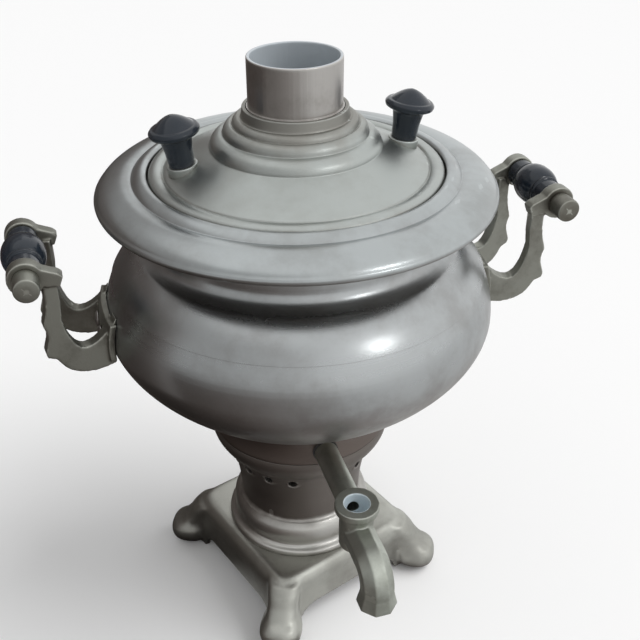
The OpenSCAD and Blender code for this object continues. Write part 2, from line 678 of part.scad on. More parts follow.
function grip_side() = let (h = grip_l / 2, n = grip_neck_d / 2, g = grip_d / 2) concat(
    [[n - 0.3, -h], [n, -h + 0.4], [n, -h * 0.62], [n + 0.5, -h * 0.6], [n + 0.5, -h * 0.52], [n, -h * 0.5]],
    curve([n + 0.4, -h * 0.48], [g - 0.4, -h * 0.4], [g, -h * 0.2], [g, 0], 6),
    curve([g, 0], [g, h * 0.2], [g - 0.4, h * 0.4], [n + 0.4, h * 0.48], 6),
    [[n + 0.4, h * 0.48], [n, h * 0.5], [n + 0.5, h * 0.52], [n + 0.5, h * 0.6], [n, h * 0.62],
     [n, h - 0.4], [n - 0.3, h]]);

module grip(s) color("#141519") on_axis() translate([s * grip_x, 0, grip_h]) rotate([90, 0, 0])
    revolve(concat([[pin_d / 2 + turn_fit, -grip_l / 2]], grip_side(), [[pin_d / 2 + turn_fit, grip_l / 2]]));

module grip_left() grip(-1);
module grip_right() grip(1);

pin_tail = 0.8;

// A pin with a long round head in front and a riveted tail behind
module grip_pin(s) color("#96948c") on_axis() translate([s * grip_x, 0, grip_h]) rotate([90, 0, 0]) {
    translate([0, 0, -arm_out]) cylinder(d = pin_d, h = 2 * arm_out + 1, $fn = 32);
    translate([0, 0, arm_out]) cylinder(d = pin_head_d, h = pin_head_l, $fn = 40);
    translate([0, 0, -arm_out - pin_tail])
        cylinder(d1 = pin_d, d2 = pin_d + 1.6, h = pin_tail, $fn = 32);
}

module pin_left() grip_pin(-1);
module pin_right() grip_pin(1);

// ---- Tap ----

// Radius of a circle through the corners of the eight-sided section
spout_corner = spout_w / 2 / cos(22.5);

// An eight-sided or round rod from the key's seat out along -Y, round the bend and down by drop
module spout_path(r, sides, turn, drop) {
    translate([0, -seat_reach, spout_axis]) rotate([90, 0, 0]) rotate(turn)
        cylinder(r = r, h = spout_run, $fn = sides);
    translate([0, -spout_x, spout_axis - bend_r]) rotate([0, -90, 0]) rotate(-90)
        rotate_extrude(angle = 90, $fn = 48) translate([bend_r, 0]) rotate(turn) circle(r = r, $fn = sides);
    translate([0, -mouth_reach, spout_axis - bend_r - drop]) rotate(turn) cylinder(r = r, h = drop, $fn = sides);
}

module tap_body() color("#a9ada0") on_axis() difference() {
    union() {
        translate([0, -shoulder_at, tap_z]) rotate([90, 0, 0])
            cylinder(d = tap_tube_d, h = seat_reach - shoulder_at, $fn = 48);
        translate([0, -shoulder_at - 1, tap_z]) rotate([-90, 0, 0])
            cylinder(d = shank_d, h = shoulder_at + 1 - foot_r + shank_in, $fn = 32);
        translate([0, -seat_reach, barrel_top - barrel_h]) cylinder(d = seat_barrel_d, h = barrel_h - 1, $fn = 48);
        translate([0, -seat_reach, barrel_top - 2]) cylinder(d = seat_ring_d, h = 2, $fn = 64);
        translate([0, -seat_reach, barrel_top - 3]) cylinder(d1 = seat_barrel_d, d2 = seat_ring_d, h = 1, $fn = 64);
        spout_path(spout_corner, 8, 22.5, spout_axis - bend_r - spout_h);
        translate([0, -mouth_reach, spout_h]) rotate(22.5)
            cylinder(r1 = spout_corner + lip_flare, r2 = spout_corner, h = 4, $fn = 8);
    }
    translate([0, -seat_reach, barrel_top - barrel_h - 1]) cylinder(d = key_d, h = barrel_h + 2, $fn = 48);
    translate([0, -seat_reach, tap_z]) rotate([-90, 0, 0]) cylinder(d = tap_bore_d, h = seat_reach, $fn = 24);
    spout_path(tap_bore_d / 2 + 0.3, 24, 0, spout_axis - bend_r - spout_h + 1);
}

module tap_washer() color("#3a3a38") on_axis() difference() {
    translate([0, -shoulder_at, tap_z]) rotate([-90, 0, 0])
        cylinder(d = tap_tube_d + 0.6, h = 2 * tap_washer_t, $fn = 48);
    translate([0, 0, floor_h]) cylinder(r = foot_r, h = 2 * foot_ring_h, $fn = 180);
    revolve(concat(bowl_side(), [[0, seam_h], [0, floor_h]]));
    translate([0, -shoulder_at - past, tap_z]) rotate([-90, 0, 0])
        cylinder(r = shank_d / 2 + fit, h = tap_washer_t + 2 * past, $fn = 32);
}

module tap_nut() color("#9a8d5e") on_axis() difference() {
    translate([0, -foot_r + sheet - 0.6, tap_z]) rotate([-90, 0, 0])
        cylinder(d = nut_af / cos(30), h = nut_l, $fn = 6);
    difference() {
        translate([0, -foot_r - past, tap_z]) rotate([-90, 0, 0]) cylinder(d = 2 * nut_af, h = nut_l + past, $fn = 32);
        cylinder(r = foot_r - sheet - fit, h = 2 * foot_top);
    }
    translate([0, -foot_r - past, tap_z]) rotate([-90, 0, 0])
        cylinder(r = shank_d / 2 + fit, h = shank_in + 3 * past, $fn = 32);
}

base();
base_screws();
stand();
bowl();
shoulder();
rim();
fire_tube();
tube_gasket();
ring_nut();
grate();
lid();
knob_left();
knob_right();
knob_screws();
handle_left();
handle_right();
handle_rivets();
grip_left();
grip_right();
pin_left();
pin_right();
tap_body();
tap_washer();
tap_nut();
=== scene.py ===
"""A small charcoal samovar: spun nickel-plated urn, cast foot, handles and tap, black knobs and grips."""
from math import cos, radians, sin

import bpy
import numpy as np
from mathutils import Matrix, Vector


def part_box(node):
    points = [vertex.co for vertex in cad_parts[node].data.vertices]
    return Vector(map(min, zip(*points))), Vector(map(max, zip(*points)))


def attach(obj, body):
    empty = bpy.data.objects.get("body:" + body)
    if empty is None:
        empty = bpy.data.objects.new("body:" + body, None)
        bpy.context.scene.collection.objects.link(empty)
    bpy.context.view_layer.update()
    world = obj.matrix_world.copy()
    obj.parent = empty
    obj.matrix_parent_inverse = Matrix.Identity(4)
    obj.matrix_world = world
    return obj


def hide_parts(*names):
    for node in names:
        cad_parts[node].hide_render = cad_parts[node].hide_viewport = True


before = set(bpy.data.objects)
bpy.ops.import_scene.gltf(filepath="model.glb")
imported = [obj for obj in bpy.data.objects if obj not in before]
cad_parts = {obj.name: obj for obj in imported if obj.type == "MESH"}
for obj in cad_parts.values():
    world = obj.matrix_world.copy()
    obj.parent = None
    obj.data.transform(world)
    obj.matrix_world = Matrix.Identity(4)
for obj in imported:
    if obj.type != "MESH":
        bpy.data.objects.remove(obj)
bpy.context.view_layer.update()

MM = 0.001
low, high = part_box("bowl")
AXIS_Y = (low.y + high.y) / 2 / MM

# ---- Camera ----

AZIMUTH, ELEVATION, ROLL = -15.83, 32.65, -0.77
DISTANCE, AIM_Z = 257.1 * MM, 91.4 * MM

turn = (Matrix.Rotation(radians(AZIMUTH), 4, "Z") @ Matrix.Rotation(radians(90 - ELEVATION), 4, "X")
        @ Matrix.Rotation(radians(ROLL), 4, "Z"))
camera = bpy.data.objects.new("camera", bpy.data.cameras.new("camera"))
camera.matrix_world = Matrix.Translation(Vector((0, AXIS_Y * MM, AIM_Z)) + turn.col[2].xyz * DISTANCE) @ turn
camera.data.sensor_width, camera.data.lens, camera.data.shift_x = 36, 50.55, 0.034
camera.data.clip_start = 0.01
bpy.context.scene.collection.objects.link(camera)
bpy.context.scene.camera = camera

# ---- Outlines: rows (radius, height, ease of the corner) in millimetres ----

def curve(a, b, c, d, n=24):
    """n points of the cubic curve a (1-t)^3 + 3 b t (1-t)^2 + 3 c t^2 (1-t) + d t^3, without its last point,
    as rows (r, z, 0)."""
    t = np.linspace(0, 1, n, endpoint=False)[:, None]
    a, b, c, d = (np.array([*p, 0.0]) for p in (a, b, c, d))
    return a * (1 - t) ** 3 + 3 * b * t * (1 - t) ** 2 + 3 * c * t ** 2 * (1 - t) + d * t ** 3


def arc(r, z, radius, start, end, n=12):
    """n points of an arc about (r, z), (r + radius cos a, z + radius sin a), with a from start to end in
    degrees, as rows (r, z, 0)."""
    a = np.radians(np.linspace(start, end, n))
    return np.stack([r + radius * np.cos(a), z + radius * np.sin(a), 0 * a], 1)


def beside(path, t):
    """The path moved to its left by t: each point goes along the left normal of the mean step there."""
    step = np.gradient(path[:, :2], axis=0)
    step /= np.linalg.norm(step, axis=1, keepdims=True)
    moved = path.copy()
    moved[:, 0] -= t * step[:, 1]
    moved[:, 1] += t * step[:, 0]
    return moved


def outline(*parts):
    """Joins corners (r, z, ease) and runs of rows into one closed outline, and swaps each corner for the
    quadratic curve (1-t)^2 from + 2 t (1-t) corner + t^2 to, which leaves its two sides at the distance ease.
    A further point on each side, hold times as far away, keeps the side flat."""
    hold, steps = 1.9, 5
    rows = np.vstack([np.atleast_2d(p) for p in parts]).astype(float)
    point, ease = rows[:, None, :2], rows[:, None, 2:]
    back, ahead = np.roll(point, 1, 0) - point, np.roll(point, -1, 0) - point

    def side(way, far):
        length = np.maximum(np.linalg.norm(way, axis=2, keepdims=True), 1e-9)
        return point + way * np.minimum(far * ease / length, 0.12 + 0.18 * far)

    t = np.linspace(0, 1, steps)[None, :, None]
    bend = side(back, 1) * (1 - t) ** 2 + 2 * point * t * (1 - t) + side(ahead, 1) * t ** 2
    path = np.concatenate([side(back, hold), bend, side(ahead, hold)], 1).reshape(-1, 2)
    path = path[np.linalg.norm(path - np.roll(path, 1, 0), axis=1) > 1e-3]
    area = np.sum(path[:, 0] * np.roll(path[:, 1], -1) - np.roll(path[:, 0], -1) * path[:, 1])
    return path if area > 0 else path[::-1]


# ---- Surfaces ----

def turned(path, count=256, swell=None):
    """Points and faces of an outline turned about Z: (r cos a, r sin a, z) for count angles a. An end of the
    outline on the axis is one pole. swell(a, r, z), if given, is added to the radius."""
    a = np.linspace(0, 2 * np.pi, count, endpoint=False)[None, :]
    ends = path[[0, -1], 0] < 1e-3
    ring = path[int(ends[0]):len(path) - int(ends[1])]
    r, z = ring[:, :1] + 0 * a, ring[:, 1:] + 0 * a
    if swell:
        r = r + swell(a, r, z)
    points = np.stack([r * np.cos(a), r * np.sin(a), z], 2).reshape(-1, 3)
    rows = len(ring) if not ends.any() else len(ring) - 1
    i, j = np.meshgrid(np.arange(rows), np.arange(count), indexing="ij")
    up, on = (i + 1) % len(ring), (j + 1) % count
    faces = np.stack([i * count + j, i * count + on, up * count + on, up * count + j], 2)
    faces = faces.reshape(-1, 4).tolist()
    spoke = np.arange(count)
    for end, row, order in ((0, 0, -1), (1, len(ring) - 1, 1)):
        if ends[end]:
            points = np.vstack([points, [0, 0, path[-end, 1]]])
            edge = np.stack([row * count + spoke, row * count + (spoke + 1) % count][::order], 1)
            faces += np.hstack([edge, np.full((count, 1), len(points) - 1)]).tolist()
    return points, faces


def placed(surface, at=(0, 0, 0), x=0, y=0, z=0):
    """The surface turned by x, y, z degrees about those axes in that order, and moved to at."""
    spin = Matrix.Rotation(radians(z), 3, "Z") @ Matrix.Rotation(radians(y), 3, "Y") @ Matrix.Rotation(
        radians(x), 3, "X")
    return surface[0] @ np.array(spin).T + np.array(at), surface[1]


def joined(*surfaces):
    """Several surfaces as one."""
    starts = np.cumsum([0] + [len(s[0]) for s in surfaces])
    return (np.vstack([s[0] for s in surfaces]),
            [[k + n for k in face] for s, n in zip(surfaces, starts) for face in s[1]])


def shown(name, points, faces):
    """An object at the origin in the scene, from its points in metres and its faces."""
    made = bpy.data.objects.new(name, bpy.data.meshes.new(name))
    made.data.from_pydata(points.tolist(), [], faces)
    bpy.context.scene.collection.objects.link(made)
    return made


def on_axis(points):
    """Points in metres, from points about the urn's own axis in millimetres."""
    return (points + (0, AXIS_Y, 0)) * MM


def dressed(made, body, material, node):
    """Gives a finished object its material, its body and the node it stands for."""
    made.data.materials.clear()
    made.data.materials.append(material)
    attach(made, body)
    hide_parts(node)
    return made


def piece(name, surface, body, material, node):
    """A piece from a surface about the urn's own axis in millimetres, which stands for a node."""
    made = shown(name, on_axis(surface[0]), surface[1])
    made.data.shade_smooth()
    return dressed(made, body, material, node)


def settle(made):
    """Applies the modifiers of an object."""
    bpy.context.view_layer.update()
    shape = made.evaluated_get(bpy.context.evaluated_depsgraph_get())
    mesh = bpy.data.meshes.new_from_object(shape)
    made.modifiers.clear()
    made.data = mesh


def drilled(made, surface):
    """Cuts the surface out of the object."""
    drill = shown("drill", on_axis(surface[0]), surface[1])
    cut = made.modifiers.new("cut", "BOOLEAN")
    cut.operation, cut.solver, cut.object = "DIFFERENCE", "EXACT", drill
    settle(made)
    bpy.data.objects.remove(drill)


def casting(name, node, body, material, square, rounds):
    """A cast piece: a copy of its node, merged, wrapped in a net of squares of that size in millimetres and
    smoothed that many times, which rounds its edges and fills its inner corners as a mould does."""
    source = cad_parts[node]
    made = bpy.data.objects.new(name, source.data.copy())
    bpy.context.scene.collection.objects.link(made)
    weld = made.modifiers.new("weld", "WELD")
    weld.merge_threshold = 0.002 * MM
    net = made.modifiers.new("net", "REMESH")
    net.mode, net.voxel_size, net.use_smooth_shade = "VOXEL", square * MM, True
    smooth = made.modifiers.new("smooth", "SMOOTH")
    smooth.factor, smooth.iterations = 0.5, rounds
    settle(made)
    made.data.shade_smooth()
    dressed(made, body, material, node)


# ---- Sizes, in millimetres, the same as the frame's ----

SHEET, FIT = 1.2, 0.1
FLOOR_H, FLOOR_HOLE, FOOT_R, FOOT_TOP, LIP_H = 58.4, 13.5, 25, 67.4, 1.4
BELLY_R, BELLY_H, SHOULDER_C, SHOULDER_RISE = 53.3, 98.5, 30, 24
SEAM_H, HEM_LOW, HEM = 112.5, 110.9, 0.5
TURN_UP, THROAT_R = 118.9, 38.6
SEAT_H, RECESS, MOUTH_R, RECESS_R, BAND_R = 136.6, 2.4, 34.6, 38.4, 42.3
RIM_R, RIM_H, BEAD_R = 52, 133.8, 1.2
SKIRT_R, SKIRT_LOW = 37.3, 130.4
TUBE_R, SPIGOT_R, BORE_R, TUBE_TOP, TUBE_LOW = 12.3, 11.9, 11, 167.3, 54.2
CLAMP_R, CLAMP_LOW, CLAMP_TOP, SPIGOT_LOW = 15.5, 60.4, 62.6, 155.1
GRATE_LOW, GRATE_TOP, GRATE_R, LEDGE_R = 55.6, 57.4, 10.5, 9.6
LID_R, RING_IN, RING_TOP, LID_WALL = 38, 34.6, 139.9, 2
DOME_R, DOME_FOOT, DOME_H, COLLAR_R, COLLAR_TOP = 22, 144.8, 7.4, 13.4, 155
LID_BORE_R, RIB_R, RIB_LOW, RIB_T = 12.7, 34.2, 133.2, 1.4
KNOB_AT, KNOB_LEAN, KNOB_R, KNOB_H, STEM_R, SCREW_R = 29.4, 8, 6.45, 13.1, 3.25, 1.6
BOSS_R, BOSS_H = 3.95, 4.8
PLATE_H, FLANGE, DRUM_R, DRUM_TOP, GROOVE_R, CUP_R, VENT_H = 19.6, 1.6, 21.3, 30.7, 18.5, 26.6, 48
WEB_LOW, ASH_FLOOR, STAND_WALL = 56.8, 21.4, 1.8
VENTS, VENT_PITCH, VENT_START, VENT_R = 17, 20, -72, 1.3
GRIP_X, GRIP_H, ARM_OUT = 70.7, 123.8, 13
GRIP_HALF, GRIP_R, NECK_R, PIN_R, PIN_HEAD_R, PIN_HEAD_L = 9.2, 5.6, 3.9, 1.55, 3.2, 5.6
RIVET_Z, RIVET_ANGLE, RIVET_OUT = 100, 4, 55.1


def body(z, proud=0):
    """The urn's side over the belly, an ellipse, as rows at the heights z, moved outwards by proud:
    radius = 30 + 23.3 sqrt(1 - ((z - 98.5) / 24)^2)."""
    r = SHOULDER_C + (BELLY_R - SHOULDER_C) * np.sqrt(1 - ((z - BELLY_H) / SHOULDER_RISE) ** 2)
    return np.stack([r + proud, z, 0 * z], 1)


def bowl():
    """Foot ring, flare and belly up to the seam: a cubic curve from the foot ring to the belly's widest
    point, then the ellipse of body(), and the same moved in by a sheet. The foot ring is flush with the
    stand's cup above its lip."""
    flare = curve((FOOT_R, FOOT_TOP), (FOOT_R + 13, FOOT_TOP + 9.6), (BELLY_R - 0.4, BELLY_H - 10.5),
                  (BELLY_R, BELLY_H), 70)
    side = np.vstack([flare, body(np.linspace(BELLY_H, SEAM_H, 24))])
    ring = CUP_R - 0.25
    lip = FLOOR_H + LIP_H
    return turned(outline(
        (FLOOR_HOLE, FLOOR_H, 0.3), (FOOT_R, FLOOR_H, 0.8),
        (FOOT_R, lip + 0.1, 0.05), (ring, lip + 0.1, 0.08),
        curve((ring, lip + 0.6), (ring - 0.7, lip + 3.6), (ring - 0.7, FOOT_TOP - 0.6),
              (ring + 0.7, FOOT_TOP + 1.6), 20),
        side[side[:, 0] > ring + 0.8], beside(side, SHEET)[::-1],
        (FOOT_R - SHEET, FLOOR_H + SHEET, 0.8), (FLOOR_HOLE, FLOOR_H + SHEET, 0.3)), 320)


def shoulder():
    """The curve from the hem, which laps the bowl, in to the throat under the rim: the ellipse of body(), a
    cubic curve that turns up into the throat, and the same moved in by a sheet."""
    r_up = body(np.array([TURN_UP]), HEM)[0, 0]
    side = np.vstack([
        body(np.linspace(HEM_LOW + 0.3, TURN_UP, 24, endpoint=False), HEM),
        curve((r_up, TURN_UP), (THROAT_R + 0.4 * (r_up - HEM - THROAT_R), TURN_UP + 1.2),
              (THROAT_R, TURN_UP + 2.4), (THROAT_R, TURN_UP + 5), 24),
        [[THROAT_R, TURN_UP + 5, 0], [THROAT_R, SEAT_H - SHEET - 0.3, 0]]])
    inner = beside(side, SHEET)
    inner = inner[inner[:, 1] > SEAM_H + 0.6][::-1]
    seam = body(np.array([SEAM_H, HEM_LOW]))[:, 0]
    return turned(outline(
        side, inner, (seam[0] + HEM - SHEET, SEAM_H + FIT, 0.2), (seam[0] + FIT, SEAM_H + FIT, 0.05),
        (seam[1] + FIT, HEM_LOW, 0.05), (seam[1] + HEM, HEM_LOW, 0.25)), 320)


def rim():
    """The broad rim: a shelf for the lid, two convex bands (cubic curves) with a valley between them, a
    rolled edge (an arc), their underside a sheet below, and a skirt that stands in the throat."""
    top = np.vstack([
        curve((RECESS_R, SEAT_H + RECESS), (RECESS_R + 0.9, SEAT_H + RECESS + 1.1),
              (BAND_R - 1.4, SEAT_H + 3), (BAND_R, SEAT_H + 1.4), 30),
        curve((BAND_R, SEAT_H + 1.4), (BAND_R + 3, SEAT_H + 2.6), (RIM_R - 1.8, RIM_H + 3.4),
              (RIM_R - 0.5, RIM_H + 0.9), 40)])
    roll = arc(RIM_R - BEAD_R, RIM_H, BEAD_R, 42, -205, 28)
    under = beside(top, -SHEET)[::-1]
    under = under[(under[:, 0] < RIM_R - 2.2 * BEAD_R) & (under[:, 0] > RECESS_R + SHEET)]
    shelf = SEAT_H - SHEET
    return turned(outline(
        (MOUTH_R, shelf, 0.3), (MOUTH_R, SEAT_H, 0.3), (RECESS_R, SEAT_H, 0.3), (RECESS_R, SEAT_H + 1.2, 0),
        top, roll, under, (RECESS_R + SHEET, shelf, 0.8), (SKIRT_R, shelf, 0.3), (SKIRT_R, SKIRT_LOW, 0.3),
        (SKIRT_R - SHEET, SKIRT_LOW, 0.3), (SKIRT_R - SHEET, shelf, 0.3)), 320)


def fire_tube():
    """The tube, a little smaller over the lid, with the collar that clamps the urn's floor, and in its bore a
    ledge for the grate."""
    return turned(outline(
        (LEDGE_R, TUBE_LOW, 0.2), (TUBE_R, TUBE_LOW, 0.3), (TUBE_R, CLAMP_LOW, 0.2),
        (CLAMP_R, CLAMP_LOW, 0.3), (CLAMP_R, CLAMP_TOP, 0.3), (TUBE_R, CLAMP_TOP, 0.4),
        (TUBE_R, SPIGOT_LOW, 0.15), (SPIGOT_R, SPIGOT_LOW, 0.15), (SPIGOT_R, TUBE_TOP, 0.4),
        (BORE_R, TUBE_TOP, 0.4), (BORE_R, GRATE_TOP, 0.1), (GRATE_R + FIT, GRATE_TOP, 0.1),
        (GRATE_R + FIT, GRATE_LOW, 0.1), (LEDGE_R, GRATE_LOW, 0.2)), 192)


def field(r):
    """Height of the lid's sloping field at distance r from the middle: a straight line from the ring's inner
    side up to the dome's foot."""
    return RING_TOP - 0.4 + (DOME_FOOT - RING_TOP + 0.4) * (RING_IN - 0.6 - r) / (RING_IN - 0.6 - DOME_R)


def knob_frame(s, surface):
    """The surface stood on the lid's slope on side s, leaning outwards."""
    return placed(surface, (s * KNOB_AT, 0, field(KNOB_AT - STEM_R)), y=s * KNOB_LEAN)


def lid():
    """A raised ring (a cubic curve), a sloping field, three rounded steps (arcs) and a collar, with a rib
    under them that stands in the mouth, and a boss under each knob."""
    w = DOME_R - COLLAR_R - 0.9
    lip = TUBE_R + 0.15
    shell = turned(outline(
        (LID_R, SEAT_H, 0.3), (LID_R, SEAT_H + 1.5, 0),
        curve((LID_R, SEAT_H + 1.7), (LID_R - 0.1, RING_TOP - 0.2), (RING_IN + 1.2, RING_TOP + 0.2),
              (RING_IN, RING_TOP - 0.5), 24),
        (RING_IN - 0.4, RING_TOP - 0.9, 0.2), (RING_IN - 0.8, RING_TOP - 0.4, 0.3),
        (DOME_R + 3, field(DOME_R + 3), 0), (DOME_R, DOME_FOOT, 0.5),
        arc(DOME_R - 0.44 * w, DOME_FOOT, 0.44 * w, 8, 80, 14),
        (DOME_R - 0.45 * w, DOME_FOOT + 0.47 * DOME_H, 0.9),
        arc(DOME_R - 0.76 * w, DOME_FOOT + 0.5 * DOME_H, 0.3 * w, 5, 80, 14),
        (DOME_R - 0.77 * w, DOME_FOOT + 0.79 * DOME_H, 0.7),
        arc(DOME_R - w, DOME_FOOT + 0.8 * DOME_H, 0.22 * w, 5, 80, 12),
        (COLLAR_R + 0.35, COLLAR_TOP - 2.7, 0.6), (COLLAR_R, COLLAR_TOP, 0.25), (lip, COLLAR_TOP, 0.15),
        (lip, COLLAR_TOP - 0.5, 0.1), (LID_BORE_R, COLLAR_TOP - 0.8, 0.1),
        (LID_BORE_R, COLLAR_TOP - 4.8, 0.3), (DOME_R - 4, DOME_FOOT + 0.4, 0.8),
        (DOME_R - 0.8, DOME_FOOT - LID_WALL, 1),
        (RING_IN - 1.4, SEAT_H + 0.6, 0.6), (RIB_R - RIB_T, SEAT_H, 0.4), (RIB_R - RIB_T, RIB_LOW, 0.3),
        (RIB_R, RIB_LOW, 0.3), (RIB_R, SEAT_H, 0.2)), 320)
    boss = turned(outline(
        (SCREW_R, -BOSS_H, 0.1), (BOSS_R, -BOSS_H, 0.4), (BOSS_R, 0, 0.3), (SCREW_R, 0, 0.1)), 64)
    return joined(shell, knob_frame(-1, boss), knob_frame(1, boss))


def knob():
    """A low round cap (a cubic curve) with a thick brim, on a stem that widens upwards and has the screw's
    hole in its foot."""
    top, low, hole = KNOB_H - 0.3, KNOB_H - 5.6, 7.4
    return turned(outline(
        (0, top, 0), curve((0.3, top), (1.9, top - 0.2), (3.6, top - 1.5), (5, top - 2.7), 24),
        (5.1, top - 2.8, 0.15), (5.8, top - 2.9, 0.3), (KNOB_R, low + 1.6, 0.6),
        (KNOB_R - 0.3, low + 0.6, 0.5), (KNOB_R - 1.3, low + 0.1, 0.4), (4.1, low - 0.3, 0.6),
        (3.5, low - 3.6, 0), (STEM_R + 0.1, 1.4, 0.6), (STEM_R, 0.5, 0.2), (STEM_R, 0, 0.2),
        (SCREW_R, 0, 0.1), (SCREW_R, hole, 0.1), (0, hole, 0)), 128)


def grip():
    """A barrel (a cubic curve and its mirror) between two ringed necks, bored for its pin, lying along Y."""
    h, n, g = GRIP_HALF, NECK_R, GRIP_R
    half = np.vstack([
        [[g, 0, 0]], curve((g, 0.05 * h), (g, 0.22 * h), (g - 0.5, 0.4 * h), (n + 0.5, 0.47 * h), 24),
        [[n + 0.5, 0.47 * h, 0.1], [n, 0.5 * h, 0.15], [n + 0.5, 0.53 * h, 0.2], [n + 0.5, 0.59 * h, 0.2],
         [n, 0.62 * h, 0.15], [n, h, 0.35]]])
    path = outline((PIN_R + 0.05, -h, 0.1), half[::-1] * (1, -1, 1), half[1:], (PIN_R + 0.05, h, 0.1))
    return placed(turned(path, 128), x=90)


def pin():
    """A pin that lies along Y: a long flat-ended head in front (-Y), a shank as long as the handle is wide,
    and a riveted tail behind."""
    a, end = ARM_OUT, ARM_OUT + PIN_HEAD_L
    return placed(turned(outline(
        (0, -a - 0.8, 0), (PIN_R + 0.6, -a - 0.8, 0.4), (PIN_R + 0.2, -a, 0.2), (PIN_R, -a, 0), (PIN_R, a, 0),
        (PIN_HEAD_R - 0.1, a, 0.2), (PIN_HEAD_R, a + 0.6, 0.3), (PIN_HEAD_R, end - 1, 0),
        (PIN_HEAD_R - 0.1, end - 0.2, 0.5), (1.6, end, 0.8), (0.12, end, 0), (0, end, 0)), 96), x=90)


def rivets():
    """Four rivets through the pads: a domed head outside (a cubic curve), a flat one inside."""
    shank, flat, head, low, end = 1.2, 2, 2.3, -3.5, -4.2
    one = turned(outline(
        (0, end, 0), (flat, end, 0.2), (flat, low, 0.1), (shank, low, 0.1), (shank, 0, 0.1), (head, 0, 0.1),
        curve((head, 0.1), (2.1, 0.8), (1.2, 1), (0.3, 1), 12), (0, 1, 0)), 48)
    return joined(*[placed(placed(one, (RIVET_OUT, 0, RIVET_Z), y=90), z=side + turn)
                    for side in (0, 180) for turn in (-RIVET_ANGLE, RIVET_ANGLE)])


def stand_side():
    """The stand's outer side as rows: a flange, a drum, a groove, a waist that widens upwards and a cup, each
    of them a cubic curve."""
    edge = DRUM_R + FLANGE
    return np.vstack([
        [[edge - 0.1, PLATE_H, 0.15], [edge, PLATE_H + 0.9, 0.4]],
        curve((edge - 0.2, PLATE_H + 1.6), (edge - 0.9, PLATE_H + 2.3), (DRUM_R - 0.8, PLATE_H + 2.2),
              (DRUM_R - 0.3, PLATE_H + 4.6), 30),
        curve((DRUM_R - 0.3, PLATE_H + 4.6), (DRUM_R + 0.2, PLATE_H + 7), (DRUM_R - 0.4, DRUM_TOP - 2),
              (GROOVE_R + 1, DRUM_TOP - 0.6), 30),
        curve((GROOVE_R + 1, DRUM_TOP - 0.6), (GROOVE_R + 0.1, DRUM_TOP - 0.1), (GROOVE_R, DRUM_TOP + 0.2),
              (GROOVE_R + 0.1, DRUM_TOP + 1.2), 16),
        curve((GROOVE_R + 0.1, DRUM_TOP + 1.2), (GROOVE_R + 0.7, DRUM_TOP + 9.2),
              (GROOVE_R + 1.5, VENT_H - 2.4), (CUP_R - 4.4, VENT_H + 2.4), 60),
        curve((CUP_R - 4.4, VENT_H + 2.4), (CUP_R - 2.4, VENT_H + 4.8), (CUP_R, VENT_H + 7.4),
              (CUP_R, FLOOR_H), 24),
        [[CUP_R, FLOOR_H + 0.6, 0]]])


def vent_lips(a, r, z):
    """Raised lower lips of the draught holes: round each hole a ridge proud exp(-((away - ring) / width)^2),
    away being the distance from the hole's middle. It fades to nothing at the middle's height."""
    proud, ring, width = 0.45, VENT_R + 0.35, 0.45
    turn = np.radians(VENT_PITCH)
    first = np.radians(VENT_START)
    i = np.clip(np.round(((a - first) % (2 * np.pi)) / turn), 0, VENTS - 1)
    across = (a - first - i * turn + np.pi) % (2 * np.pi) - np.pi
    away = np.hypot(r * across, z - VENT_H)
    lip = proud * np.exp(-((away - ring) / width) ** 2) * np.clip((VENT_H - z) / VENT_R, 0, 1)
    return np.where((r > GROOVE_R - 1) & (away < 4), lip, 0)


def stand():
    """The stand: its side, the same moved in by its wall, a lip round the urn's foot ring, a web under the
    urn's floor, and the ash chamber's floor."""
    side = stand_side()
    inner = side[(side[:, 1] > ASH_FLOOR + 0.8) & (side[:, 1] < WEB_LOW - 0.5)][::4] - (STAND_WALL, 0, 0)
    inner[:, 2] = 0
    return turned(outline(
        (0, PLATE_H, 0), (DRUM_R - 1.2, PLATE_H, 0), side, (CUP_R - 0.2, FLOOR_H + LIP_H, 0.1),
        (FOOT_R + FIT, FLOOR_H + LIP_H, 0.1), (FOOT_R + FIT, FLOOR_H, 0.1), (TUBE_R + FIT, FLOOR_H, 0.2),
        (TUBE_R + FIT, WEB_LOW, 0.2), (CUP_R - STAND_WALL, WEB_LOW, 0.3), inner[::-1],
        (DRUM_R - 3, ASH_FLOOR, 0.4), (0, ASH_FLOOR, 0)), 340, vent_lips)


def vents():
    """The drills for the draught holes, a ring of short rods that lie outwards through the waist's wall."""
    long = 9
    drill = turned(outline((0, 0, 0), (VENT_R, 0, 0), (VENT_R, long, 0), (0, long, 0)), 40)
    return joined(*[placed(placed(drill, (GROOVE_R - 4, 0, VENT_H), y=90), z=VENT_START + VENT_PITCH * i)
                    for i in range(VENTS)])


# ---- Material building ----

def put(tree, kind, inputs=None, **settings):
    """Adds a node. inputs maps a socket's name or number to a value, or to the socket that feeds it."""
    node = tree.nodes.new("ShaderNode" + kind)
    for key, value in settings.items():
        setattr(node, key, value)
    for key, value in (inputs or {}).items():
        if isinstance(value, bpy.types.NodeSocket):
            tree.links.new(value, node.inputs[key])
        else:
            node.inputs[key].default_value = value
    return node


def maths(tree, operation, a, b=0.0, c=0.0, clamp=False):
    """The output of one Math node."""
    return put(tree, "Math", {0: a, 1: b, 2: c}, operation=operation, use_clamp=clamp).outputs[0]


def spread(tree, value, low, high):
    """value, taken smoothly from the range low to high into 0 to 1."""
    return put(tree, "MapRange", {"Value": value, "From Min": low, "From Max": high},
               interpolation_type="SMOOTHSTEP").outputs[0]


